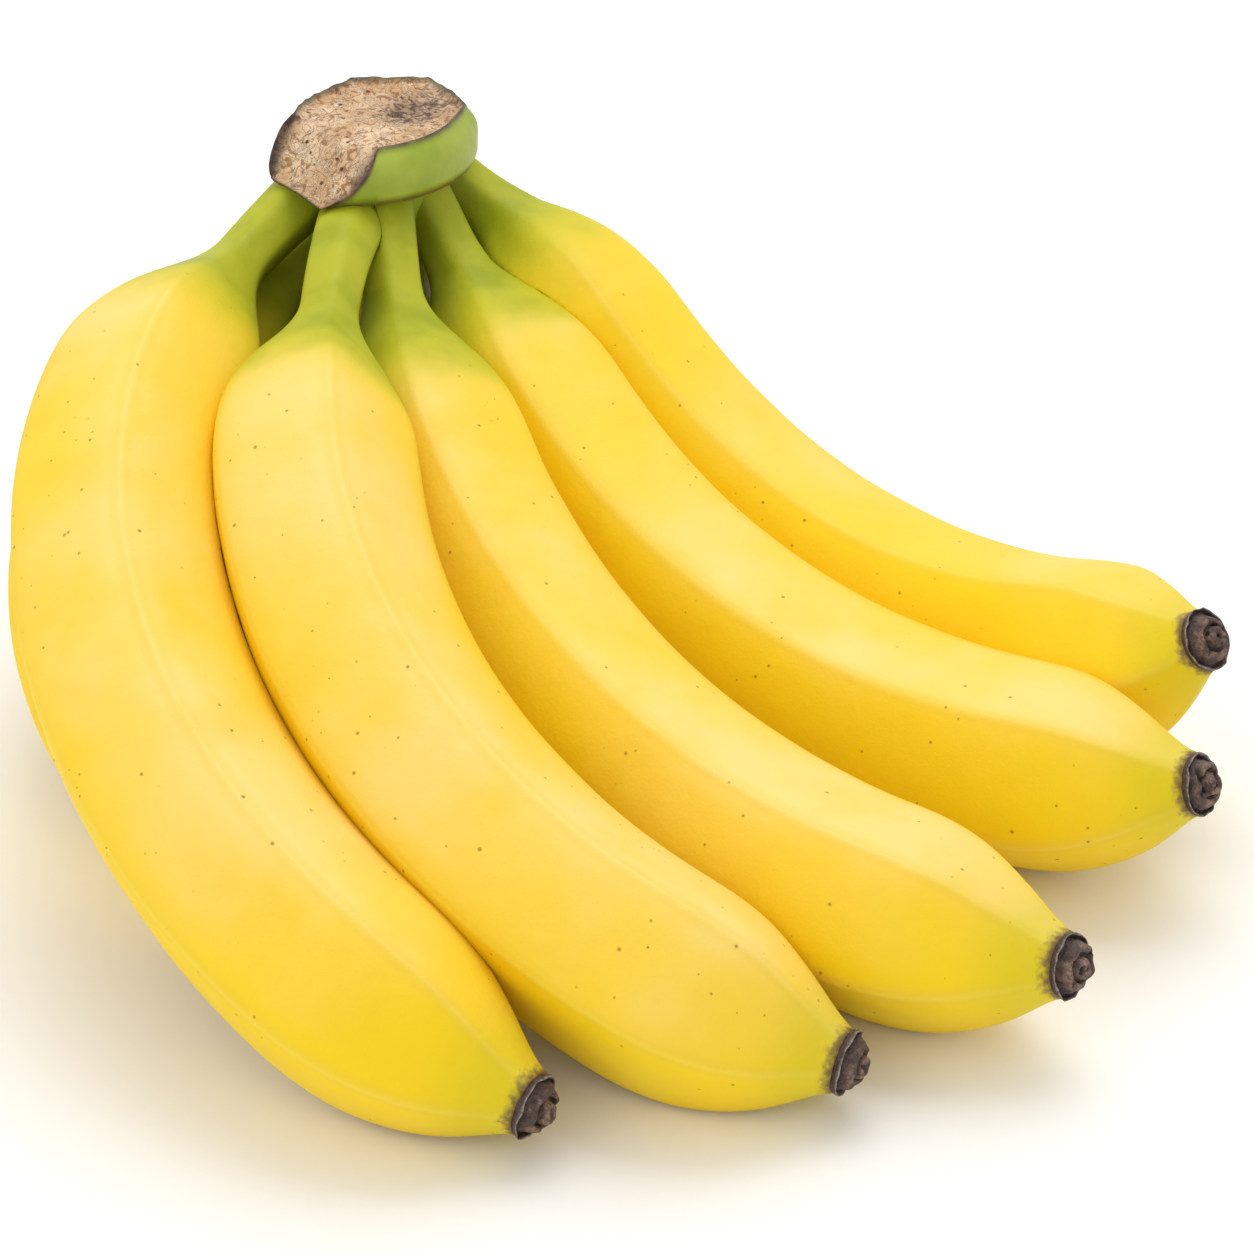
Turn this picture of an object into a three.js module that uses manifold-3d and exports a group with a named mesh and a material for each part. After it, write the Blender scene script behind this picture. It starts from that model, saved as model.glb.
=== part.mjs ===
// A hand of seven bananas lying on its bellies: five fanned fingers, two behind, one cut crown.
// Millimetres, +Z up. Seen from the front (-Y), the crown is at the back left and the tips fan right.

import * as THREE from "three";
import { mergeVertices } from "three/addons/utils/BufferGeometryUtils.js";
import Module from "manifold-3d";

// Half thicknesses of one finger.
const BELLY = 18.2;
const STALK = 5.1;
const TIP = 5.5;

// How the finger swells after its neck and closes at its tip, as shares of its length.
const RISE = 0.094;
const SWELL = 2;
const TAPER = 0.82;
const TAPER_POWER = 2.8;
const TAPER_EASE = 1.4;
const STALK_END = 0.17;
const FLARE = 0.25;
const FLARE_LENGTH = 0.02;

// The skin has five soft ridges, sharper on the stalk than on the belly.
const RIDGES = 5;
const BELLY_EDGE = 5;
const STALK_EDGE = 5.5;
const FACE_SHARE = 0.965;

// Mesh steps: stations along a finger and sides round it.
const STATIONS = 28;
const SIDES = 4 * RIDGES;

// Clear gap between neighbours. A stalk runs on into the crown, thinning to its end, and is trimmed there.
const GAP = 0.35;
const SINK = 12;
const SUNK_SHARE = 0.55;

// The crown is a long cushion on a tapering keel, cut flat on top and sliced lower at its front end.
const CROWN = {
  middle: new THREE.Vector3(-46.26, 89.52, 78.2),
  heading: 63,
  droop: 3,
  raise: 9,
  halfLength: 23.6,
  halfWidth: 18.3,
  height: 12.7,
  roundness: 2.3,
  keelDepth: 27,
  keelPower: 0.35,
  keelShift: 8,
  topCut: 8.2,
  frontCutAt: -13,
  frontSlope: 50,
  frontTurn: 16,
};
const CROWN_RINGS = 14;
const CROWN_SIDES = 28;

// The blossom end is a short dried cup with a ragged rim and a nub in its hollow.
const CAP = { thick: 3.6, rim: 6.1, hollow: 3.7, nub: 1.6, ragged: 0.45, teeth: 7 };
const CAP_SIDES = 14;

// One entry a finger. along, side and drop place its root on the crown, and neck is the share of its
// length where it starts to swell. The heading is the way it runs in plan from +X, droop its fall, roll
// the lean of its bend, bend its whole curve, turn the kink of its stalk, ridge the angle of one ridge
// from its hollow side. Angles are in degrees.
const FRONT = { girth: 1 };
const BEHIND = { girth: 0.84, ridge: 80 };
const FINGERS = [
  {
    ...FRONT, along: -12.4, side: -11.2, drop: 0, neck: 0.075, length: 236,
    heading: -67, droop: 20, roll: -3, bend: 86, turn: -11, ridge: 95,
  },
  {
    ...FRONT, along: -28, side: 8.1, drop: -2.4, neck: 0.077, length: 213,
    heading: -53, droop: 21, roll: 6, bend: 77, turn: 0, ridge: 84,
  },
  {
    ...FRONT, along: -11.1, side: 8.8, drop: 0, neck: 0.062, length: 219,
    heading: -48, droop: 13, roll: 38, bend: 60, turn: -10, ridge: 72,
  },
  {
    ...FRONT, along: 5.7, side: 8.5, drop: 2.4, neck: 0.05, length: 207,
    heading: -40, droop: 10, roll: 59, bend: 62, turn: -1, ridge: 63,
  },
  {
    ...FRONT, along: 18, side: 7.5, drop: 2.5, neck: 0.03, length: 199.6,
    heading: -40, droop: 6.8, roll: 93, bend: 87, turn: 38, ridge: 92,
  },
  {
    ...BEHIND, along: -2, side: -8, drop: 9, neck: 0.035, length: 176,
    heading: -80, droop: 21, roll: 15, bend: 103, turn: -10,
  },
  {
    ...BEHIND, along: 10, side: 1, drop: 13.2, neck: 0, length: 150,
    heading: -79, droop: 15, roll: 46, bend: 82, turn: 10,
  },
];

const SKIN = new THREE.MeshStandardMaterial({ color: 0xe9bf26, roughness: 0.42, metalness: 0 });
const CORK = new THREE.MeshStandardMaterial({ color: 0x8d9440, roughness: 0.7, metalness: 0 });
const HUSK = new THREE.MeshStandardMaterial({ color: 0x453329, roughness: 0.85, metalness: 0 });

const wasm = await Module();
wasm.setup();

const radians = THREE.MathUtils.degToRad;
const clamp = THREE.MathUtils.clamp;

// Closed shell from rings of points, each end closed on its own middle.
function shell(rings) {
  const sides = rings[0].length;
  const middle = (ring) => ring.reduce((sum, p) => sum.add(p), new THREE.Vector3()).divideScalar(sides);
  const points = [...rings.flat(), middle(rings[0]), middle(rings.at(-1))];
  const first = points.length - 2;
  const last = points.length - 1;
  const top = (rings.length - 1) * sides;
  const faces = [];
  for (let i = 0; i < sides; i += 1) {
    const j = (i + 1) % sides;
    for (let row = 0; row < top; row += sides) {
      faces.push(row + i, row + j, row + sides + j, row + i, row + sides + j, row + sides + i);
    }
    faces.push(first, j, i, last, top + i, top + j);
  }
  const geometry = new THREE.BufferGeometry().setFromPoints(points);
  geometry.setIndex(faces);
  return geometry;
}

function solidOf(geometry) {
  const bare = geometry.clone();
  bare.deleteAttribute("normal");
  bare.deleteAttribute("uv");
  const welded = mergeVertices(bare);
  const vertProperties = new Float32Array(welded.attributes.position.array);
  const triVerts = new Uint32Array(welded.index.array);
  return new wasm.Manifold(new wasm.Mesh({ numProp: 3, vertProperties, triVerts }));
}

function meshOf(solid, material, name) {
  const { vertProperties, triVerts } = solid.getMesh();
  const geometry = new THREE.BufferGeometry();
  geometry.setAttribute("position", new THREE.BufferAttribute(new Float32Array(vertProperties), 3));
  geometry.setIndex(new THREE.BufferAttribute(new Uint32Array(triVerts), 1));
  geometry.computeVertexNormals();
  const mesh = new THREE.Mesh(geometry, material);
  mesh.name = name;
  return mesh;
}

// Right-handed axes of something that runs along a heading and falls by a droop.
function axesOf(heading, droop) {
  const h = radians(heading);
  const d = radians(droop);
  const along = new THREE.Vector3(Math.cos(d) * Math.cos(h), Math.cos(d) * Math.sin(h), -Math.sin(d));
  const left = new THREE.Vector3(-Math.sin(h), Math.cos(h), 0);
  return { along, left, up: along.clone().cross(left) };
}

const crownAxes = axesOf(CROWN.heading, CROWN.droop);

// A point given in the crown's own axes: along it, to its right side, up through its cut.
function onCrown(along, side, up) {
  return CROWN.middle
    .clone()
    .addScaledVector(crownAxes.along, along)
    .addScaledVector(crownAxes.left, -side)
    .addScaledVector(crownAxes.up, up);
}

function halfThickness(t, neck) {
  const swell = 1 - Math.exp(-((Math.max(t - neck, 0) / RISE) ** SWELL));
  const stalk = STALK * (1 + FLARE * Math.exp(-t / FLARE_LENGTH));
  const tapered = clamp((t - TAPER) / (1 - TAPER), 0, 1) ** TAPER_POWER;
  const closing = 1 - (1 - tapered) ** TAPER_EASE;
  return THREE.MathUtils.lerp(stalk + (BELLY - STALK) * swell, TIP, closing);
}

// Rounded five-sided outline: how far the skin reaches at an angle from one ridge.
function ridged(angle, edge) {
  let sum = 0;
  for (let face = 0; face < RIDGES; face += 1) {
    const lean = Math.cos(angle - ((face + 0.5) * 2 * Math.PI) / RIDGES);
    sum += Math.max(lean, 0) ** edge;
  }
  return FACE_SHARE * sum ** (-1 / edge);
}

// Middle line of a finger: its points with the two directions that span each cross-section.
function middleLine(finger) {
  const { along, left, up } = axesOf(finger.heading, finger.droop);
  const roll = radians(finger.roll);
  const hollow = left.multiplyScalar(Math.cos(roll)).addScaledVector(up, Math.sin(roll));
  const across = along.clone().cross(hollow);
  const way = (t) => {
    const bent = clamp((t - STALK_END) / (1 - STALK_END), 0, 1) - 0.5;
    const kink = Math.max(0, 1 - t / STALK_END);
    const angle = radians(finger.bend * bent + finger.turn * kink);
    return along.clone().multiplyScalar(Math.cos(angle)).addScaledVector(hollow, Math.sin(angle));
  };
  const line = [];
  const point = onCrown(finger.along, finger.side, -finger.drop);
  for (let i = 0; i <= STATIONS; i += 1) {
    const t = i / STATIONS;
    const ahead = way(t);
    line.push({ t, point: point.clone(), ahead, inward: across.clone().cross(ahead), across, share: 1 });
    point.addScaledVector(way(t + 0.25 / STATIONS), (0.5 * finger.length) / STATIONS);
    point.addScaledVector(way(t + 0.75 / STATIONS), (0.5 * finger.length) / STATIONS);
  }
  const start = line[0];
  const end = start.point.clone().addScaledVector(start.ahead, -SINK);
  line.unshift({ ...start, point: end, share: SUNK_SHARE });
  return line;
}

// The finger as a solid, fatter by grow on every side.
function fingerSolid(finger, grow) {
  const rings = middleLine(finger).map(({ t, point, inward, across, share }) => {
    const swell = clamp((t - finger.neck) / (2 * RISE), 0, 1);
    const edge = THREE.MathUtils.lerp(STALK_EDGE, BELLY_EDGE, swell);
    const reach = share * finger.girth * halfThickness(t, finger.neck);
    return Array.from({ length: SIDES }, (_, k) => {
      const turn = (k * 2 * Math.PI) / SIDES;
      const angle = turn + radians(finger.ridge);
      const r = reach * ridged(turn, edge) + grow;
      return point
        .clone()
        .addScaledVector(inward, r * Math.cos(angle))
        .addScaledVector(across, r * Math.sin(angle));
    });
  });
  return solidOf(shell(rings));
}

// The dried cup on the tip, built along the finger's own end direction.
function capSolid(finger) {
  const { point, ahead, inward, across } = middleLine(finger).at(-1);
  const size = finger.girth;
  const profile = [
    [GAP, TIP * 0.97],
    [CAP.thick * 0.55, CAP.rim],
    [CAP.thick, CAP.rim * 0.93],
    [CAP.thick * 0.9, CAP.hollow * 1.2],
    [CAP.thick * 0.45, CAP.hollow],
    [CAP.thick * 0.4, CAP.nub * 1.25],
    [CAP.thick * 1.05, CAP.nub * 0.8],
  ];
  const rings = profile.map(([forward, reach], row) =>
    Array.from({ length: CAP_SIDES }, (_, k) => {
      const angle = (k * 2 * Math.PI) / CAP_SIDES;
      const ragged = row === 0 ? 0 : CAP.ragged * Math.sin(CAP.teeth * angle + row);
      const r = size * (reach + ragged * (reach / CAP.rim));
      return point
        .clone()
        .addScaledVector(ahead, row === 0 ? forward : size * forward)
        .addScaledVector(inward, r * Math.cos(angle))
        .addScaledVector(across, r * Math.sin(angle));
    }),
  );
  return solidOf(shell(rings));
}

// The uncut crown: an oval cushion with a full, rounded side above and a bowl that narrows below.
function cushion(grow) {
  const rings = Array.from({ length: CROWN_RINGS + 1 }, (_, row) => {
    const rise = -Math.cos((Math.PI * (row + 0.35)) / (CROWN_RINGS + 0.7));
    const below = Math.max(0, -rise);
    const rounded = (1 - Math.abs(rise) ** CROWN.roundness) ** (1 / CROWN.roundness);
    const spread = rise > 0 ? rounded : (1 - below) ** CROWN.keelPower;
    const height = rise > 0 ? CROWN.height : CROWN.keelDepth;
    return Array.from({ length: CROWN_SIDES }, (_unused, k) => {
      const angle = (-k * 2 * Math.PI) / CROWN_SIDES;
      return onCrown(
        CROWN.keelShift * below + (CROWN.halfLength * spread + grow) * Math.cos(angle),
        (CROWN.halfWidth * spread + grow) * Math.sin(angle),
        CROWN.raise + (height + grow) * rise,
      );
    });
  });
  return solidOf(shell(rings));
}

// A block that takes away everything on the far side of a plane through a point.
function cutter(point, normal) {
  const reach = 200;
  const block = new THREE.BoxGeometry(2 * reach, 2 * reach, 2 * reach);
  block.translate(0, 0, reach);
  block.applyQuaternion(new THREE.Quaternion().setFromUnitVectors(new THREE.Vector3(0, 0, 1), normal));
  block.translate(point.x, point.y, point.z);
  return solidOf(block);
}

function crownSolid() {
  const top = cutter(onCrown(0, 0, CROWN.raise + CROWN.topCut), crownAxes.up);
  const slope = radians(CROWN.frontSlope);
  const turn = radians(CROWN.frontTurn);
  const front = crownAxes.up
    .clone()
    .multiplyScalar(Math.cos(slope))
    .addScaledVector(crownAxes.along, -Math.sin(slope) * Math.cos(turn))
    .addScaledVector(crownAxes.left, Math.sin(slope) * Math.sin(turn));
  const slice = cutter(onCrown(CROWN.frontCutAt, 0, CROWN.raise + CROWN.topCut), front);
  return cushion(0).subtract(top).subtract(slice);
}

// Fingers give way to the crown, to the floor they press on and to the neighbours built before them.
function handOfBananas() {
  const bunch = new THREE.Group();
  bunch.name = "bunch_of_bananas";
  bunch.add(meshOf(crownSolid(), CORK, "crown"));

  const floor = cutter(new THREE.Vector3(), new THREE.Vector3(0, 0, -1));
  const clearing = cushion(GAP);
  const order = [1, 0, 2, 3, 4, 5, 6];
  const fingers = [];
  for (const index of order) {
    const finger = FINGERS[index];
    let solid = fingerSolid(finger, 0).subtract(clearing).subtract(floor);
    for (const other of fingers) {
      solid = solid.subtract(other.grown);
    }
    fingers.push({ index, solid, grown: fingerSolid(finger, GAP) });
  }
  fingers.sort((a, b) => a.index - b.index);
  for (const { index, solid } of fingers) {
    bunch.add(meshOf(solid, SKIN, `banana_${index + 1}`));
    bunch.add(meshOf(capSolid(FINGERS[index]), HUSK, `blossom_end_${index + 1}`));
  }
  return bunch;
}

export default handOfBananas();
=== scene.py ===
"""A hand of seven bananas lying on its bellies, on a pale floor. Metres, +Z up."""

import math

import bpy
import numpy as np
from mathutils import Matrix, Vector, noise


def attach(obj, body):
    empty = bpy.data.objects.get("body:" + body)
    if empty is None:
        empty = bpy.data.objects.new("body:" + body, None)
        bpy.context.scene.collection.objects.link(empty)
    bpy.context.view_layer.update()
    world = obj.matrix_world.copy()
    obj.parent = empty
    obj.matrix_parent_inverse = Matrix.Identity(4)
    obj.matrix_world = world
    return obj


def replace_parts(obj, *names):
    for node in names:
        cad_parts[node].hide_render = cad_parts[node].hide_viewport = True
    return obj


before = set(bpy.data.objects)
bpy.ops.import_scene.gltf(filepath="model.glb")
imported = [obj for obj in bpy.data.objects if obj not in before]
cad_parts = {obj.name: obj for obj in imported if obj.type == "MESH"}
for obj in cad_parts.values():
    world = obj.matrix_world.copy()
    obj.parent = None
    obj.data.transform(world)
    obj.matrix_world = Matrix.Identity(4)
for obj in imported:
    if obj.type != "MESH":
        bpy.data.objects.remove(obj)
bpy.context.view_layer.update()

MM = 0.001

# Half thicknesses of one finger, and how it swells and closes as shares of its length.
BELLY = 18.2 * MM
STALK = 5.1 * MM
TIP = 5.5 * MM
RISE = 0.094
SWELL = 2
TAPER = 0.82
TAPER_POWER = 2.8
TAPER_EASE = 1.4
STALK_END = 0.17
FLARE = 0.3
FLARE_LENGTH = 0.05

# Five ridges on rounded faces: each one rises to a crease with a thin bead along it.
RIDGES = 5
BELLY_EDGE = 5
STALK_EDGE = 5.5
FACE_SHARE = 0.955
CREASE = 0.045
CREASE_WIDTH = math.radians(24)
BEAD_HEIGHT = 0.2 * MM
BEAD_WIDTH = 1.0 * MM
LUMP = 0.35 * MM

# Mesh steps along a finger and round it, the gap that neighbours keep, and how close to a neighbour's
# nearest cross-section a point has to be to give way to it.
STATIONS = 132
SIDES = 20 * RIDGES
GAP = 0.1 * MM
SECTION_REACH = 2 * MM

# The root of a stalk curves up to a core point inside the crown. The core point lies at shares of the
# finger's own place along and beside the crown, and at the finger's own core height.
ROOT_END = 0.07
ROOT_GUIDE = 0.8
ROOT_STEPS = 16
CORE_ALONG = 0.6
CORE_SIDE = 0.5

# The crown: a long cushion on a tapering keel, cut flat on top and sliced lower at its front end. Its
# rim and its front lip have blunt corners, given as degrees round it and how far each one stands out.
CROWN_MIDDLE = np.array([-46.26, 89.52, 78.2]) * MM
CROWN_HEADING = 63
CROWN_DROOP = 3
CROWN_RAISE = 9 * MM
CROWN_HALF_LENGTH = 23.6 * MM
CROWN_HALF_WIDTH = 18.3 * MM
CROWN_HEIGHT = 12.7 * MM
CROWN_ROUNDNESS = 2.3
KEEL_DEPTH = 27 * MM
KEEL_POWER = 0.35
KEEL_SHIFT = 8 * MM
TOP_CUT = 8.2 * MM
FRONT_CUT_AT = -13 * MM
FRONT_SLOPE = 50
FRONT_TURN = 16
RIM_CORNERS = {-53: 0.11, -2: 0.09, 53: 0.06}
LIP_CORNERS = {-138: 0.10, 176: 0.10}
CORNER_WIDTH = 26
CROWN_SIDES = 360
WALL_LOWEST = -0.98
WALL_ROWS = 80
FACE_ROWS = 96

# Relief of the crown: a rough cut with a sunken spot, inside a raised ragged rim with a dark edge, and a
# seam round the uneven wall. The wall draws in under the seam, more at the front than behind.
FACE_CENTRE = np.array([-2, 0]) * MM
FIBRE_HEIGHT = 0.5 * MM
FACE_SINK = 0.35 * MM
SUNK_CENTRE = np.array([8.4, 3.8]) * MM
SUNK_SIZE = np.array([11, 8]) * MM
SUNK_DEPTH = 1.4 * MM
RIM_HEIGHT = 0.7 * MM
RIM_INSIDE = 0.7 * MM
RIM_OUTSIDE = 0.6 * MM
RAGGED = 0.35 * MM
RAGGED_DEPTH = 1.2 * MM
EDGE_WIDTH = 0.8 * MM
EDGE_WIDER = 2.6 * MM
UNEVEN = 0.006
SEAM_AT = CROWN_RAISE - 1.5 * MM
SEAM_WIDTH = 0.7 * MM
SEAM_DEPTH = 0.02
UNDERCUT_END = CROWN_RAISE - 5 * MM
UNDERCUT_FRONT = 0.32
UNDERCUT_BEHIND = 0.06

# The dried blossom end: its half section, as steps forward from the tip and reaches from its middle in
# mm, the share of those reaches that is used, and the direction that its finger's lean turns it to.
CAP_PROFILE = [
    (-0.9, 5.35), (0.1, 5.7), (0.8, 6.0), (1.2, 5.95), (1.0, 5.6), (0.4, 5.25), (0.9, 4.8), (2.3, 4.3),
    (3.1, 3.6), (3.0, 3.0), (2.1, 2.6), (2.6, 2.2), (3.9, 1.8), (4.3, 1.2), (3.8, 0.6), (2.6, 0.3),
]
CAP_REACH = 0.95
CAP_SIDES = 84
CAP_ROWS = 60
TIP_LEAN_TO = np.array([0, -0.85, 0.53])

# Relief of the cap. Places are counted in points of its half section: where it comes free of the peel,
# the crest of its collar, the start of its pitted nub, and its troughs, which are painted dark as shade.
CAP_FREE = (1.5, 4)
CAP_CREST = 3
CAP_NUB = (5.5, 8)
CAP_TROUGHS = (5.2, 10.2, 15)
CAP_WAVE = 0.1
CAP_CURL = 0.75 * MM
CAP_PIT_DEPTH = 0.9 * MM

# Colours of the peel. The shade, side and top yellows are painted shade and light, chosen by how far the
# skin faces up; the ridge and flank yellows are a painted highlight on each crease and painted shade
# beside it; the dark neck green is painted shade where the neck faces down.
SHADE_YELLOW = (0.94, 0.655, 0.008)
SIDE_YELLOW = (0.94, 0.64, 0.055)
TOP_LIT_YELLOW = (0.94, 0.69, 0.20)
PATCH_YELLOW = (0.88, 0.56, 0.01)
RIDGE_HIGHLIGHT_YELLOW = (0.92, 0.70, 0.14)
FLANK_SHADE_YELLOW = (0.80, 0.50, 0.01)
NECK_GREEN = (0.33, 0.37, 0.01)
NECK_LIGHT_GREEN = (0.45, 0.46, 0.022)
NECK_SHADE_GREEN = (0.13, 0.155, 0.003)
TURNING_GREEN = (0.68, 0.57, 0.02)
TIP_GREEN = (0.62, 0.55, 0.012)
SMUDGE_BROWN = (0.13, 0.065, 0.055)
FRECKLE_BROWN = (0.22, 0.09, 0.012)

# Colours of the crown.
CUT_TAN = (0.60, 0.37, 0.19)
CUT_PALE = (0.78, 0.56, 0.36)
CUT_BROWN = (0.33, 0.15, 0.05)
FIBRE_PALE = (0.90, 0.73, 0.55)
PIT_BROWN = (0.13, 0.055, 0.025)
DECAY_BROWN = (0.11, 0.065, 0.045)
RIND_GREEN = (0.27, 0.36, 0.018)
RIND_LIGHT_GREEN = (0.37, 0.44, 0.045)
SEAM_BROWN = (0.14, 0.07, 0.035)
EDGE_DARK = (0.045, 0.024, 0.022)
EDGE_BROWN = (0.15, 0.075, 0.045)

# Colours of the dried ends. The pit colour is painted shade, put in the cap's troughs and pits.
HUSK_DARK = (0.035, 0.019, 0.015)
HUSK_BROWN = (0.09, 0.05, 0.04)
HUSK_TAN = (0.12, 0.068, 0.048)
HUSK_PALE = (0.33, 0.20, 0.14)
HUSK_WORN = (0.42, 0.34, 0.31)
HUSK_PIT_SHADE = (0.01, 0.006, 0.006)

# The floor, the point that the lights face, and the camera: its lens and sensor in mm, its place, and
# how many degrees down it looks.
FLOOR_HALF = 6
LIGHT_AIM = (0, 0, 0.04)
CAMERA_LENS = 110
CAMERA_SENSOR = 36
CAMERA_PLACE = (0.0025, -0.589, 0.4034)
CAMERA_DOWN = 32

# One entry a finger, lengths in mm and angles in degrees. girth scales its thickness. along, side and
# drop place its root on the crown, core is the height of its core point, and neck is the share of its
# length where it starts to swell. The heading is the way it runs in plan from +X, droop its fall, roll
# the lean of its bend, bend its whole curve, turn the kink of its stalk, and ridge the angle of one ridge
# from its hollow side. lean turns its cap, green is the share by which its green neck is longer, and pale
# shifts its painted light and shade: above 0 its peel is painted paler as if lit, below 0 deeper as if
# shaded.
FRONT = {"girth": 1, "core": 5, "lean": 0.25, "green": 0.035, "pale": 0}
BEHIND = {"girth": 0.84, "core": -4, "lean": 0.25, "ridge": 80, "green": 0, "pale": -0.1}
FINGERS = [
    {**FRONT, "core": 7, "girth": 1.015, "along": -12.4, "side": -11.2, "drop": 0, "neck": 0.075,
     "length": 236, "heading": -66.7, "droop": 20, "roll": -3, "bend": 86, "turn": -11, "ridge": 95},
    {**FRONT, "core": 1, "along": -28, "side": 8.1, "drop": -2.4, "neck": 0.077, "length": 213,
     "heading": -53, "droop": 21, "roll": 6, "bend": 77, "turn": 0, "ridge": 84, "pale": 0.1},
    {**FRONT, "along": -11.1, "side": 8.8, "drop": 0, "neck": 0.062, "length": 219,
     "heading": -48, "droop": 13, "roll": 38, "bend": 60, "turn": -10, "ridge": 72, "pale": -0.04},
    {**FRONT, "along": 5.7, "side": 8.5, "drop": 2.4, "neck": 0.05, "length": 207,
     "heading": -40, "droop": 10, "roll": 59, "bend": 62, "turn": -1, "ridge": 63,
     "lean": 0.15, "green": 0.015, "pale": -0.12},
    {**FRONT, "along": 18, "side": 7.5, "drop": 2.5, "neck": 0.03, "length": 199.6,
     "heading": -40, "droop": 6.8, "roll": 93, "bend": 87, "turn": 38, "ridge": 92,
     "lean": -0.05, "green": -0.025, "pale": -0.22},
    {**BEHIND, "along": -2, "side": -8, "drop": 9, "neck": 0.035, "length": 176,
     "heading": -80, "droop": 21, "roll": 15, "bend": 103, "turn": -10},
    {**BEHIND, "girth": 0.87, "along": 10, "side": 1, "drop": 13.2, "neck": 0, "length": 150,
     "heading": -79, "droop": 15, "roll": 46, "bend": 82, "turn": 10},
]

# A finger gives way to those before it in this order.
BUILD_ORDER = [1, 0, 2, 3, 4, 5, 6]


def smooth(low, high, value):
    """Smooth step from 0 at low to 1 at high."""
    share = np.clip((value - low) / (high - low), 0, 1)
    return share * share * (3 - 2 * share)


def unit(vectors):
    return vectors / np.linalg.norm(vectors, axis=-1, keepdims=True)


def noise_at(points, size, seed=0):
    """Soft noise from -1 to 1 at each point, with lumps of the given size."""
    shift = Vector((seed * 17.3, seed * -9.1, seed * 5.7))
    flat = points.reshape(-1, 3) / size
    values = [noise.noise(Vector(p) + shift) for p in flat]
    return np.array(values).reshape(points.shape[:-1])


def axes_of(heading, droop):
    """Right-handed axes of something that runs along a heading and falls by a droop."""
    h = math.radians(heading)
    d = math.radians(droop)
    along = np.array([math.cos(d) * math.cos(h), math.cos(d) * math.sin(h), -math.sin(d)])
    left = np.array([-math.sin(h), math.cos(h), 0])
    return along, left, np.cross(along, left)


CROWN_AXES = axes_of(CROWN_HEADING, CROWN_DROOP)


def on_crown(along, side, up):
    """Points given in the crown's own axes: along it, to its right side, up through its cut."""
    ahead, left, above = CROWN_AXES
    along, side, up = np.broadcast_arrays(along, side, up)
    return CROWN_MIDDLE + along[..., None] * ahead - side[..., None] * left + up[..., None] * above


def half_thickness(t, neck):
    """Half thickness of a finger at a share t of its length: stalk, swelling belly, closing tip."""
    swell = 1 - np.exp(-(np.maximum(t - neck, 0) / RISE) ** SWELL)
    stalk = STALK * (1 + FLARE * np.exp(-t / FLARE_LENGTH))
    tapered = np.clip((t - TAPER) / (1 - TAPER), 0, 1) ** TAPER_POWER
    closing = 1 - (1 - tapered) ** TAPER_EASE
    full = stalk + (BELLY - STALK) * swell
    return full + (TIP - full) * closing


def ridged(angle, edge):
    """Rounded five-sided outline: how far the skin reaches at an angle from one ridge."""
    total = 0
    for face in range(RIDGES):
        lean = np.cos(angle - (face + 0.5) * 2 * math.pi / RIDGES)
        total = total + np.maximum(lean, 0) ** edge
    return FACE_SHARE * total ** (-1 / edge)


def reach_at(finger, t, turn):
    """How far a finger's skin reaches from its middle line, at a turn from one ridge."""
    swell = np.clip((t - finger["neck"]) / (2 * RISE), 0, 1)
    edge = STALK_EDGE + (BELLY_EDGE - STALK_EDGE) * swell
    return finger["girth"] * half_thickness(t, finger["neck"]) * ridged(turn, edge)


def root_of(finger, joint, ahead, length):
    """Shares, points and directions of a stalk's root, from its core point up to a joint."""
    along = CORE_ALONG * finger["along"] * MM
    side = CORE_SIDE * finger["side"] * MM
    core = on_crown(along, side, finger["core"] * MM)
    guide = joint - ROOT_GUIDE * length * ahead
    rise = np.arange(ROOT_STEPS)[:, None] / ROOT_STEPS
    points = rise ** 2 * joint + 2 * rise * (1 - rise) * guide + (1 - rise) ** 2 * core
    return rise[:, 0], points, unit(rise * (joint - guide) + (1 - rise) * (guide - core))


def middle_line(finger):
    """Shares t, points and the three directions of each cross-section of a finger, and its cap's way."""
    along, left, up = axes_of(finger["heading"], finger["droop"])
    roll = math.radians(finger["roll"])
    hollow = math.cos(roll) * left + math.sin(roll) * up
    across = np.cross(along, hollow)
    length = finger["length"] * MM

    def way(t):
        bent = np.clip((t - STALK_END) / (1 - STALK_END), 0, 1) - 0.5
        kink = np.maximum(0, 1 - t / STALK_END)
        angle = np.radians(finger["bend"] * bent + finger["turn"] * kink)
        return np.cos(angle)[:, None] * along + np.sin(angle)[:, None] * hollow

    t = np.linspace(0, 1, STATIONS + 1)
    steps = way((t[:-1] + t[1:]) / 2) * length / STATIONS
    start = on_crown(finger["along"] * MM, finger["side"] * MM, -finger["drop"] * MM)
    points = start + np.vstack([np.zeros(3), np.cumsum(steps, axis=0)])
    ahead = way(t)
    first = np.argmax(t > ROOT_END)
    rise, root, root_ahead = root_of(finger, points[first], ahead[first], t[first] * length)
    t = np.concatenate([rise * t[first], t[first:]])
    points = np.vstack([root, points[first:]])
    ahead = np.vstack([root_ahead, ahead[first:]])
    inward = unit(np.cross(across, ahead))
    across = np.cross(ahead, inward)
    lean = unit(ahead[-1] + finger["lean"] * TIP_LEAN_TO)
    return {"t": t, "points": points, "ahead": ahead, "inward": inward, "across": across, "lean": lean}


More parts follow.
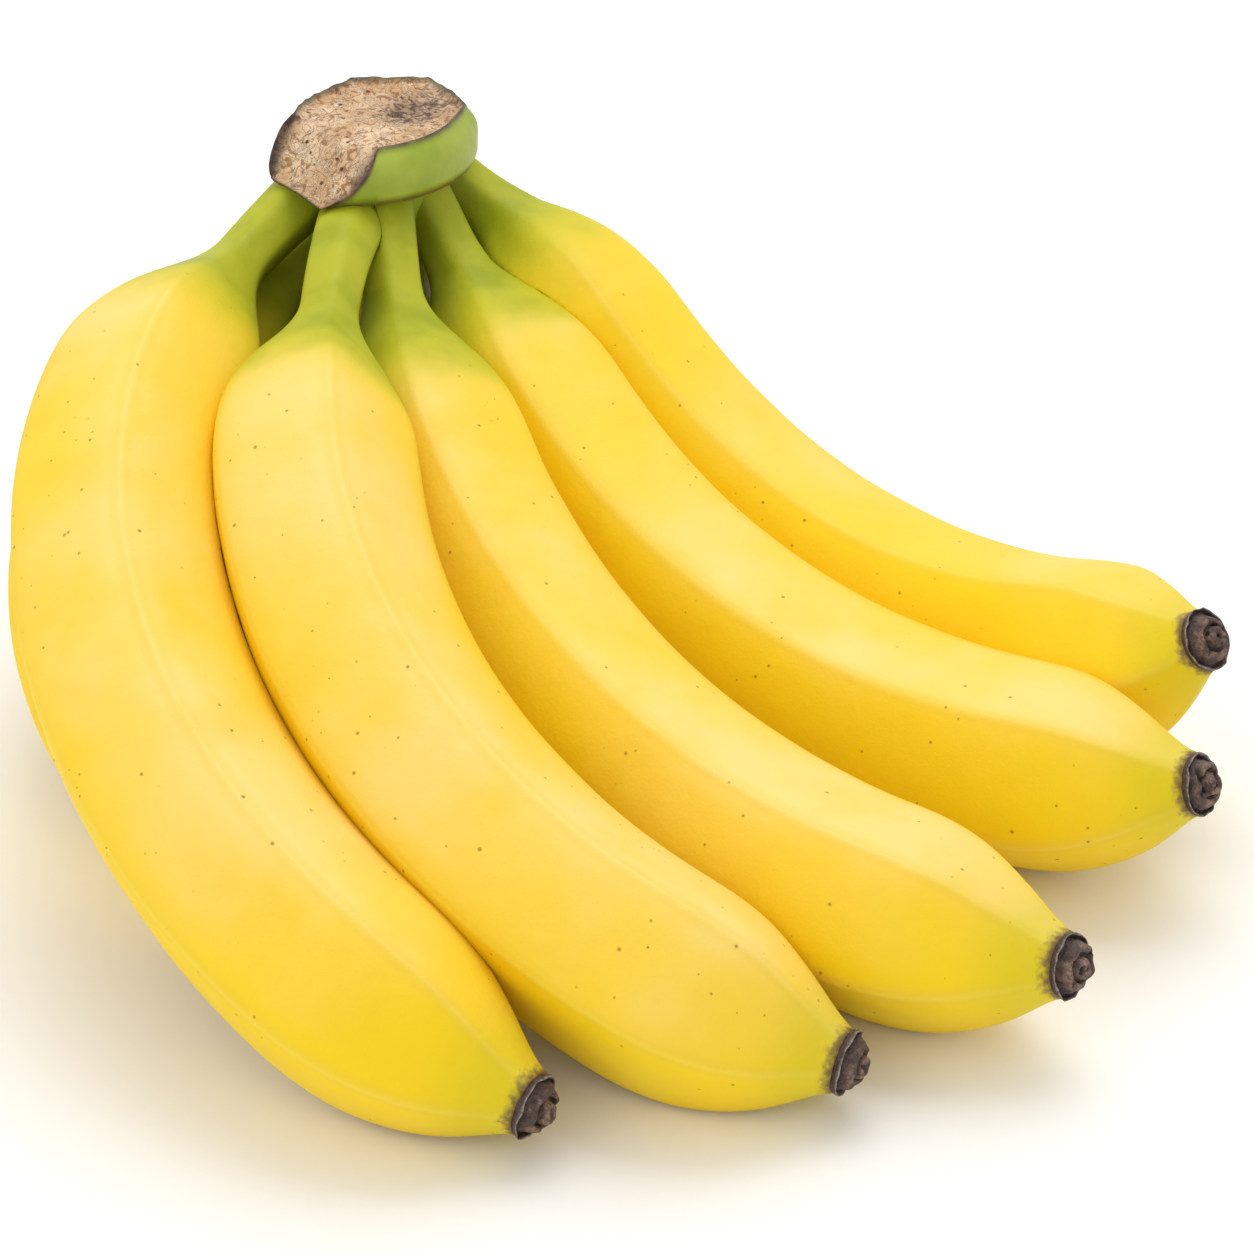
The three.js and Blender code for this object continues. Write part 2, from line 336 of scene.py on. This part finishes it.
def skin_rings(finger, line):
    """Rings of skin points round a finger, and how near each one is to a ridge."""
    t = line["t"][:, None]
    turn = np.arange(SIDES)[None, :] * 2 * math.pi / SIDES
    reach = reach_at(finger, t, turn)
    pitch = 2 * math.pi / RIDGES
    off = np.abs((turn + pitch / 2) % pitch - pitch / 2)
    near = np.exp(-(off * reach / BEAD_WIDTH) ** 2)
    # The ridges fade out towards the stalk and the tip.
    shown = smooth(0.05, 0.25, t) * smooth(1, 0.95, t)
    crease = CREASE * np.maximum(0, 1 - off / CREASE_WIDTH) ** 2
    reach = reach * (1 + crease * shown) + BEAD_HEIGHT * near * shown
    angle = turn + math.radians(finger["ridge"])
    out = np.cos(angle)[..., None] * line["inward"][:, None]
    out = out + np.sin(angle)[..., None] * line["across"][:, None]
    rings = line["points"][:, None, :] + reach[..., None] * out
    swell = smooth(finger["neck"], finger["neck"] + 2 * RISE, t) * smooth(1, 0.93, t)
    lumps = 0.6 * noise_at(rings, 34 * MM) + 0.4 * noise_at(rings, 13 * MM, 1)
    rings = rings + (LUMP * swell * lumps)[..., None] * out
    # The last rings turn into the plane that the cap sits on.
    end = line["ahead"][-1]
    slant = -(reach * (out @ line["lean"])) / (end @ line["lean"]) * smooth(0.9, 1, t)
    return rings + slant[..., None] * end, near


def upward(rings):
    """How far the skin at each point faces up, from -1 to 1."""
    round_it = np.roll(rings, -1, axis=1) - np.roll(rings, 1, axis=1)
    along_it = np.gradient(rings, axis=0)
    return unit(np.cross(round_it, along_it))[..., 2]


def give_way(rings, finger, line):
    """Moves points that lie inside another finger out to its skin."""
    flat = rings.reshape(-1, 3)
    away = flat[:, None, :] - line["points"][None, :, :]
    nearest = np.argmin((away ** 2).sum(axis=2), axis=1)
    off = away[np.arange(len(flat)), nearest]
    inward = line["inward"][nearest]
    across = line["across"][nearest]
    x = (off * inward).sum(axis=1)
    y = (off * across).sum(axis=1)
    beyond = np.abs((off * line["ahead"][nearest]).sum(axis=1))
    t = line["t"][nearest]
    angle = np.arctan2(y, x) - math.radians(finger["ridge"])
    reach = reach_at(finger, t, angle) + GAP
    distance = np.maximum(np.hypot(x, y), 1e-6)
    push = np.where(beyond < SECTION_REACH, np.maximum(reach - distance, 0), 0)
    out = (x[:, None] * inward + y[:, None] * across) / distance[:, None]
    return (flat + push[:, None] * out).reshape(rings.shape)


def piece_from_rings(name, rings, marks, material):
    """A closed mesh object over rings of points with marks, each end closed on its own middle."""
    rows, sides, _ = rings.shape
    points = np.vstack([rings.reshape(-1, 3), rings[0].mean(axis=0), rings[-1].mean(axis=0)])
    first = rows * sides
    faces = []
    for i in range(sides):
        j = (i + 1) % sides
        for row in range(0, (rows - 1) * sides, sides):
            faces.append((row + i, row + j, row + sides + j, row + sides + i))
        top = (rows - 1) * sides
        faces.append((first, j, i))
        faces.append((first + 1, top + i, top + j))
    mesh = bpy.data.meshes.new(name)
    mesh.from_pydata(points.tolist(), [], faces)
    for mark, values in marks.items():
        values = np.broadcast_to(values, (rows, sides))
        ends = [values[0].mean(), values[-1].mean()]
        layer = mesh.attributes.new(mark, "FLOAT", "POINT")
        layer.data.foreach_set("value", np.concatenate([values.ravel(), ends]).astype(np.float32))
    mesh.shade_smooth()
    mesh.materials.append(material)
    piece = bpy.data.objects.new(name, mesh)
    bpy.context.scene.collection.objects.link(piece)
    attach(piece, "root")
    return piece


class Paint:
    """A material in the making: each method adds a node and gives back its output."""

    def __init__(self, name):
        self.material = bpy.data.materials.new(name)
        self.material.use_nodes = True
        self.tree = self.material.node_tree
        self.shader = self.tree.nodes["Principled BSDF"]
        self.place = self.node("ShaderNodeTexCoord", "Object", {})

    def put(self, socket, value):
        if isinstance(value, bpy.types.NodeSocket):
            self.tree.links.new(value, socket)
        else:
            socket.default_value = value

    def node(self, kind, output, inputs, **settings):
        made = self.tree.nodes.new(kind)
        for key, value in settings.items():
            setattr(made, key, value)
        for key, value in inputs.items():
            self.put(made.inputs[key], value)
        return made.outputs[output]

    def mark(self, name):
        return self.node("ShaderNodeAttribute", "Fac", {}, attribute_name=name)

    def noise(self, size, detail=2, warp=0.0):
        inputs = {"Vector": self.place, "Scale": 1 / size, "Detail": detail, "Distortion": warp}
        return self.node("ShaderNodeTexNoise", "Fac", inputs)

    def cells(self, size, output):
        inputs = {"Vector": self.place, "Scale": 1 / size}
        return self.node("ShaderNodeTexVoronoi", output, inputs)

    def calc(self, operation, a, b=0.0):
        return self.node("ShaderNodeMath", 0, {0: a, 1: b}, operation=operation)

    def span(self, value, low, high, start=0.0, end=1.0):
        inputs = {"Value": value, "From Min": low, "From Max": high, "To Min": start, "To Max": end}
        return self.node("ShaderNodeMapRange", "Result", inputs, interpolation_type="SMOOTHSTEP")

    def mix(self, share, a, b):
        a = (*a, 1) if isinstance(a, tuple) else a
        b = (*b, 1) if isinstance(b, tuple) else b
        return self.node("ShaderNodeMix", 2, {0: share, 6: a, 7: b}, data_type="RGBA")

    def bump(self, height, depth, below=None):
        inputs = {"Height": height, "Distance": depth, "Strength": 1.0}
        if below is not None:
            inputs["Normal"] = below
        return self.node("ShaderNodeBump", "Normal", inputs)

    def finish(self, colour, roughness, normal):
        self.put(self.shader.inputs["Base Color"], colour)
        self.put(self.shader.inputs["Roughness"], roughness)
        self.put(self.shader.inputs["Normal"], normal)
        return self.material


def skin_material():
    """Yellow peel: green on the stalk, greenish before the tip, smudged at the cap, freckled, with
    painted light and shade: paler where it faces up, a highlight on each ridge, shade beside the ridges
    and under the neck.
    """
    paint = Paint("banana_peel")
    along = paint.mark("along")
    ridge = paint.mark("ridge")
    upward = paint.mark("upward")
    broad = paint.noise(45 * MM, detail=3)
    patch = paint.noise(14 * MM, detail=4)
    # Painted light and shade: the peel is paler the more it faces up, and deeper yellow where it faces
    # sideways or down.
    lit_facing = paint.calc("ADD", upward, paint.span(broad, 0.3, 0.7, -0.15, 0.15))
    colour = paint.mix(paint.span(lit_facing, 0.35, 0.75), SHADE_YELLOW, SIDE_YELLOW)
    colour = paint.mix(paint.span(lit_facing, 0.65, 1.05), colour, TOP_LIT_YELLOW)
    colour = paint.mix(paint.span(patch, 0.45, 0.75, 0, 0.3), colour, PATCH_YELLOW)
    # Painted highlight along each ridge's crest, and painted shade on its flanks either side.
    flank_shade = paint.calc("MULTIPLY", ridge, paint.calc("SUBTRACT", 1.0, ridge))
    colour = paint.mix(paint.calc("MULTIPLY", ridge, 0.35), colour, RIDGE_HIGHLIGHT_YELLOW)
    colour = paint.mix(paint.calc("MULTIPLY", flank_shade, 0.8), colour, FLANK_SHADE_YELLOW)

    wander = paint.span(patch, 0.3, 0.7, -0.008, 0.008)
    ripe = paint.calc("ADD", paint.mark("ripe"), wander)
    turning = paint.span(ripe, 0.21, 0.12)
    green = paint.mix(paint.span(patch, 0.35, 0.65), NECK_GREEN, NECK_LIGHT_GREEN)
    # Painted shade: the neck's green darkens where it faces down.
    green = paint.mix(paint.span(lit_facing, 0.45, -0.1, 0, 0.5), green, NECK_SHADE_GREEN)
    colour = paint.mix(turning, colour, TURNING_GREEN)
    colour = paint.mix(paint.span(ripe, 0.175, 0.09), colour, green)
    colour = paint.mix(paint.span(along, 0.93, 0.99, 0, 0.55), colour, TIP_GREEN)
    streak = paint.noise(1.1 * MM, detail=4)
    smudge = paint.calc("ADD", along, paint.span(streak, 0.3, 0.7, -0.0025, 0.0025))
    colour = paint.mix(paint.span(smudge, 0.99, 1.001, 0, 0.85), colour, SMUDGE_BROWN)

    dots = paint.cells(2.6 * MM, "Distance")
    chance = paint.cells(2.6 * MM, "Color")
    crowd = paint.span(paint.noise(30 * MM, detail=1), 0.40, 0.60, 0.90, 0.45)
    chosen = paint.calc("GREATER_THAN", chance, crowd)
    dots = paint.calc("MULTIPLY", dots, paint.span(chance, 0.45, 0.95, 1.7, 0.8))
    dot = paint.calc("MULTIPLY", paint.span(dots, 0.16, 0.07), chosen)
    dot = paint.calc("MULTIPLY", dot, paint.span(along, 0.15, 0.22, 0, 0.65))
    colour = paint.mix(dot, colour, FRECKLE_BROWN)

    roughness = paint.span(patch, 0.3, 0.7, 0.46, 0.56)
    pores = paint.noise(0.5 * MM, detail=2)
    waves = paint.noise(5 * MM, detail=3)
    normal = paint.bump(pores, 0.05 * MM)
    normal = paint.bump(waves, 0.25 * MM, normal)
    paint.shader.inputs["Specular IOR Level"].default_value = 0.22
    return paint.finish(colour, roughness, normal)


def crown_material():
    """Green rind with dark dried edges round a tan, fibrous cut."""
    paint = Paint("crown_cut_and_rind")
    cut = paint.mark("cut")
    edge = paint.mark("edge")
    sunk = paint.mark("sunk")
    seam = paint.mark("seam")
    fine = paint.noise(2.4 * MM, detail=3, warp=1.8)
    loops = paint.noise(5 * MM, detail=2, warp=2.2)
    fibre = paint.span(paint.calc("ABSOLUTE", paint.calc("SUBTRACT", loops, 0.5)), 0.035, 0.0)
    broad = paint.noise(9 * MM, detail=3)
    pits = paint.cells(2.3 * MM, "Distance")
    open_pit = paint.calc("GREATER_THAN", paint.cells(2.3 * MM, "Color"), 0.6)

    tan = paint.mix(paint.span(broad, 0.35, 0.65), CUT_TAN, CUT_PALE)
    tan = paint.mix(paint.span(fine, 0.48, 0.38, 0, 0.9), tan, CUT_BROWN)
    tan = paint.mix(paint.calc("MULTIPLY", fibre, 0.75), tan, FIBRE_PALE)
    pit = paint.calc("MULTIPLY", paint.span(pits, 0.26, 0.12), open_pit)
    tan = paint.mix(pit, tan, PIT_BROWN)
    decay = paint.calc("MULTIPLY", sunk, paint.span(fine, 0.60, 0.42, 0.4, 0.97))
    tan = paint.mix(decay, tan, DECAY_BROWN)

    rind = paint.mix(paint.span(broad, 0.3, 0.7), RIND_GREEN, RIND_LIGHT_GREEN)
    scuff = paint.noise(3 * MM, detail=4)
    dry = paint.calc("MULTIPLY", seam, paint.span(scuff, 0.3, 0.5, 0.5, 0.95))
    rind = paint.mix(dry, rind, SEAM_BROWN)

    colour = paint.mix(cut, rind, tan)
    dark = paint.mix(paint.span(scuff, 0.4, 0.65), EDGE_DARK, EDGE_BROWN)
    colour = paint.mix(edge, colour, dark)

    roughness = paint.span(cut, 0.0, 1.0, 0.45, 0.85)
    strands = paint.calc("ADD", fine, paint.calc("MULTIPLY", fibre, 0.4))
    height = paint.calc("MULTIPLY", strands, cut)
    normal = paint.bump(height, 0.8 * MM)
    normal = paint.bump(scuff, 0.25 * MM, normal)
    return paint.finish(colour, roughness, normal)


def husk_material():
    """Dried blossom end: dark purple-brown with tan patches and pale ragged rims, and painted shade in
    its troughs and pits.
    """
    paint = Paint("dried_blossom_end")
    crest = paint.mark("crest")
    dome = paint.mark("dome")
    pit = paint.mark("pit")
    fine = paint.noise(0.8 * MM, detail=4, warp=1.0)
    broad = paint.noise(3.2 * MM, detail=3, warp=0.6)
    colour = paint.mix(paint.span(fine, 0.35, 0.65), HUSK_DARK, HUSK_BROWN)
    tan = paint.mix(paint.span(fine, 0.35, 0.65), HUSK_TAN, HUSK_PALE)
    dusty = paint.calc("MULTIPLY", dome, paint.span(broad, 0.44, 0.62, 0.1, 0.9))
    colour = paint.mix(dusty, colour, tan)
    worn = paint.calc("MULTIPLY", crest, paint.span(fine, 0.35, 0.6, 0.3, 0.9))
    colour = paint.mix(worn, colour, HUSK_WORN)
    # Painted shade: the troughs and pits are painted near black.
    colour = paint.mix(pit, colour, HUSK_PIT_SHADE)
    roughness = paint.span(fine, 0.3, 0.7, 0.45, 0.8)
    normal = paint.bump(fine, 0.35 * MM)
    normal = paint.bump(broad, 0.5 * MM, normal)
    return paint.finish(colour, roughness, normal)


def cut_height(along, side):
    """Height of the two cut faces over the crown's middle, with a soft edge between them."""
    level = CROWN_RAISE + TOP_CUT
    slope = math.tan(math.radians(FRONT_SLOPE))
    turn = math.radians(FRONT_TURN)
    slice_at = level + slope * (math.cos(turn) * (along - FRONT_CUT_AT) + math.sin(turn) * side)
    soft = 0.5 * MM
    return -soft * np.logaddexp(-level / soft, -slice_at / soft)


def corners(angle, heights):
    """How far blunt corners stand out at an angle round the crown."""
    total = 0
    for at, height in heights.items():
        off = np.abs((np.degrees(angle) - at + 180) % 360 - 180)
        total = total + height * np.maximum(0, 1 - off / CORNER_WIDTH) ** 2
    return total


def cushion(angle, rise):
    """The uncut crown's skin in its own axes: along, side and up."""
    below = np.maximum(0, -rise)
    rounded = (1 - np.abs(rise) ** CROWN_ROUNDNESS) ** (1 / CROWN_ROUNDNESS)
    spread = np.where(rise > 0, rounded, (1 - below) ** KEEL_POWER)
    spread = spread * (1 + smooth(0.05, 0.6, rise) * corners(angle, RIM_CORNERS))
    spread = spread * (1 + smooth(-0.5, -0.15, rise) * corners(angle, LIP_CORNERS))
    height = np.where(rise > 0, CROWN_HEIGHT, KEEL_DEPTH)
    along = KEEL_SHIFT * below + CROWN_HALF_LENGTH * spread * np.cos(angle)
    return along, CROWN_HALF_WIDTH * spread * np.sin(angle), CROWN_RAISE + height * rise


def crown_rim(angle):
    """How far up its skin the crown is cut, at each angle round it."""
    low = np.full_like(angle, -0.9)
    high = np.full_like(angle, 0.999)
    for _ in range(40):
        middle = (low + high) / 2
        along, side, up = cushion(angle, middle)
        under = up < cut_height(along, side)
        low = np.where(under, middle, low)
        high = np.where(under, high, middle)
    return low


def crown_cut(rim_line):
    """The cut inside a rim line, with each point's distance from the rim and share of the sunken spot."""
    inward = np.linspace(0, 1, FACE_ROWS + 1)[1:-1, None]
    along = rim_line[:, 0] + (FACE_CENTRE[0] - rim_line[:, 0]) * inward
    side = rim_line[:, 1] + (FACE_CENTRE[1] - rim_line[:, 1]) * inward
    face = np.stack([along, side, cut_height(along, side)], axis=-1)
    inset = np.hypot(along - rim_line[:, 0], side - rim_line[:, 1])
    sunk = smooth(1.15, 0.35, np.linalg.norm((face[..., :2] - SUNK_CENTRE) / SUNK_SIZE, axis=-1))
    fibres = noise_at(face, 2.2 * MM, 2) + 0.6 * noise_at(face, 5 * MM, 3)
    lip = RIM_HEIGHT * np.exp(-(inset / RIM_INSIDE) ** 2)
    inside = smooth(0.3 * MM, 1.5 * MM, inset)
    face[..., 2] += lip + inside * (FIBRE_HEIGHT * fibres - FACE_SINK - SUNK_DEPTH * sunk)
    return face, inset, sunk


def crown_wall(angle, plain, drop):
    """The wall with a ragged rim and an undercut below its seam, and each point's share of the seam."""
    wall = plain.copy()
    ragged = RAGGED * noise_at(wall, 2.2 * MM, 4) * np.exp(-drop / RAGGED_DEPTH)
    wall[..., 2] += ragged + RIM_HEIGHT * np.exp(-(drop / RIM_OUTSIDE) ** 2)
    behind = smooth(0.1, 0.8, np.cos(angle + math.radians(90 - CROWN_HEADING)))
    seam = np.exp(-((wall[..., 2] - SEAM_AT) / SEAM_WIDTH) ** 2) * (1 - behind)
    undercut = UNDERCUT_FRONT + (UNDERCUT_BEHIND - UNDERCUT_FRONT) * behind
    undercut = undercut * smooth(SEAM_AT, UNDERCUT_END, wall[..., 2])
    uneven = UNEVEN * noise_at(wall, 9 * MM, 5)
    wall[..., :2] *= (1 - SEAM_DEPTH * seam - undercut + uneven)[..., None]
    return wall, seam


def crown_piece(material):
    """The crown: a rind wall up to a ragged dry rim, and the fibrous cut inside it."""
    angle = -np.arange(CROWN_SIDES)[None, :] * 2 * math.pi / CROWN_SIDES
    rim = crown_rim(angle)
    share = np.linspace(0, 1, WALL_ROWS)[:, None] ** 0.8
    plain = np.stack(cushion(angle, WALL_LOWEST + (rim - WALL_LOWEST) * share), axis=-1)
    drop = np.linalg.norm(plain - plain[-1], axis=-1)
    face, inset, sunk = crown_cut(plain[-1])
    wall, seam = crown_wall(angle, plain, drop)

    # The dark edge is wider where the rim runs steeply down the slice.
    steep = np.abs(np.gradient(rim, axis=1)) * CROWN_SIDES / (2 * math.pi)
    width = EDGE_WIDTH + EDGE_WIDER * smooth(0.2, 0.9, steep)
    marks = {
        "cut": np.concatenate([np.zeros_like(drop), smooth(0, 0.8 * MM, inset)]),
        "edge": np.concatenate([np.exp(-(drop / (0.5 * MM)) ** 2), np.exp(-(inset / width) ** 2)]),
        "sunk": np.concatenate([np.zeros_like(drop), sunk]),
        "seam": np.concatenate([seam, np.zeros_like(inset)]),
    }
    local = np.concatenate([wall, face])
    rings = on_crown(local[..., 0], local[..., 1], local[..., 2])
    return piece_from_rings("crown_fine", rings, marks, material)


def cap_piece(index, finger, line, material):
    """The dried cup on a tip: a ragged collar, a curled ring inside it and a pitted nub."""
    knots = np.array(CAP_PROFILE) * (1, CAP_REACH) * MM * finger["girth"]
    end = line["ahead"][-1]
    lean = line["lean"]
    at = np.linspace(0, len(knots) - 1, CAP_ROWS)
    forward = np.interp(at, np.arange(len(knots)), knots[:, 0])[:, None]
    reach = np.interp(at, np.arange(len(knots)), knots[:, 1])[:, None]
    turn = np.arange(CAP_SIDES)[None, :] * 2 * math.pi / CAP_SIDES
    ring = np.stack(np.broadcast_arrays(np.cos(turn) * reach, np.sin(turn) * reach, forward), axis=-1)
    seed = 10 + index
    free = smooth(*CAP_FREE, at)[:, None]
    wavy = noise_at(ring, 3.2 * MM, seed) + 0.6 * noise_at(ring, 1.3 * MM, seed + 20)
    reach = reach * (1 + CAP_WAVE * free * wavy)
    forward = forward + CAP_CURL * free * noise_at(ring, 2.4 * MM, seed + 40)
    out = np.cos(turn)[..., None] * line["inward"][-1] + np.sin(turn)[..., None] * line["across"][-1]
    out = unit(out - (out @ lean / (end @ lean))[..., None] * end)
    rings = line["points"][-1] + reach[..., None] * out + forward[..., None] * lean
    crest = np.exp(-((at - CAP_CREST) / 0.5) ** 2)[:, None]
    dome = smooth(*CAP_NUB, at)[:, None]
    holes = smooth(0.28, 0.5, noise_at(ring, 1.7 * MM, seed + 60)) * dome
    # The troughs get painted shade through the pit mark.
    trough_shade = sum(np.exp(-((at - knot) / 0.7) ** 2) for knot in CAP_TROUGHS)[:, None]
    rings = rings - (CAP_PIT_DEPTH * holes)[..., None] * lean
    marks = {"crest": crest, "dome": dome, "pit": np.clip(0.8 * trough_shade + holes, 0, 1)}
    cap = piece_from_rings(f"blossom_end_fine_{index + 1}", rings, marks, material)
    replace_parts(cap, f"blossom_end_{index + 1}")


def bananas(skin, husk):
    """All fingers and caps. Later fingers give way to those before them, and all to the floor."""
    built = []
    for index in BUILD_ORDER:
        finger = FINGERS[index]
        line = middle_line(finger)
        rings, near = skin_rings(finger, line)
        for other, other_line in built:
            rings = give_way(rings, other, other_line)
        rings[..., 2] = np.maximum(rings[..., 2], 0)
        built.append((finger, line))
        along = line["t"][:, None]
        marks = {
            "along": along,
            "ripe": along - finger["green"],
            "ridge": near,
            # Painted light: how far the skin faces up, shifted by its pale value, sets how pale the peel
            # is painted.
            "upward": upward(rings) + finger["pale"],
        }
        banana = piece_from_rings(f"banana_fine_{index + 1}", rings, marks, skin)
        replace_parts(banana, f"banana_{index + 1}")
        cap_piece(index, finger, line, husk)


def floor():
    """A wide, plain pale floor with a faint grain."""
    mesh = bpy.data.meshes.new("floor")
    signs = [(-1, -1), (1, -1), (1, 1), (-1, 1)]
    points = [(x * FLOOR_HALF, y * FLOOR_HALF, 0) for x, y in signs]
    mesh.from_pydata(points, [], [(0, 1, 2, 3)])
    paint = Paint("pale_floor")
    grain = paint.noise(3 * MM, detail=2)
    colour = paint.mix(grain, (0.93, 0.93, 0.93), (0.95, 0.95, 0.95))
    mesh.materials.append(paint.finish(colour, 0.6, paint.bump(grain, 0.02 * MM)))
    ground = bpy.data.objects.new("floor", mesh)
    bpy.context.scene.collection.objects.link(ground)


def lamp(name, place, size, watts, colour):
    """A square soft light that is aimed at the bunch."""
    data = bpy.data.lights.new(name, "AREA")
    data.size = size
    data.energy = watts
    data.color = colour
    light = bpy.data.objects.new(name, data)
    light.location = place
    light.rotation_euler = (Vector(LIGHT_AIM) - Vector(place)).to_track_quat("-Z", "Y").to_euler()
    bpy.context.scene.collection.objects.link(light)


def studio():
    """A big soft light overhead and behind, a weak fill from the front left, an even white surround."""
    world = bpy.data.worlds.new("studio")
    world.use_nodes = True
    surround = world.node_tree.nodes["Background"]
    surround.inputs["Color"].default_value = (1, 1, 1, 1)
    surround.inputs["Strength"].default_value = 0.8
    bpy.context.scene.world = world
    lamp("key", place=(0.12, 0.38, 0.92), size=0.8, watts=4.5, colour=(1, 0.99, 0.97))
    lamp("fill", place=(-0.8, -0.5, 0.6), size=0.9, watts=2, colour=(1, 1, 1))


def camera():
    """At the viewing angle of the picture, from the front of the fan and down on it."""
    data = bpy.data.cameras.new("camera")
    data.lens = CAMERA_LENS
    data.sensor_width = CAMERA_SENSOR
    eye = bpy.data.objects.new("camera", data)
    eye.location = CAMERA_PLACE
    eye.rotation_euler = (math.radians(90 - CAMERA_DOWN), 0, 0)
    bpy.context.scene.collection.objects.link(eye)
    bpy.context.scene.camera = eye


bananas(skin_material(), husk_material())
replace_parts(crown_piece(crown_material()), "crown")
floor()
studio()
camera()
bpy.context.scene.view_settings.view_transform = "Standard"
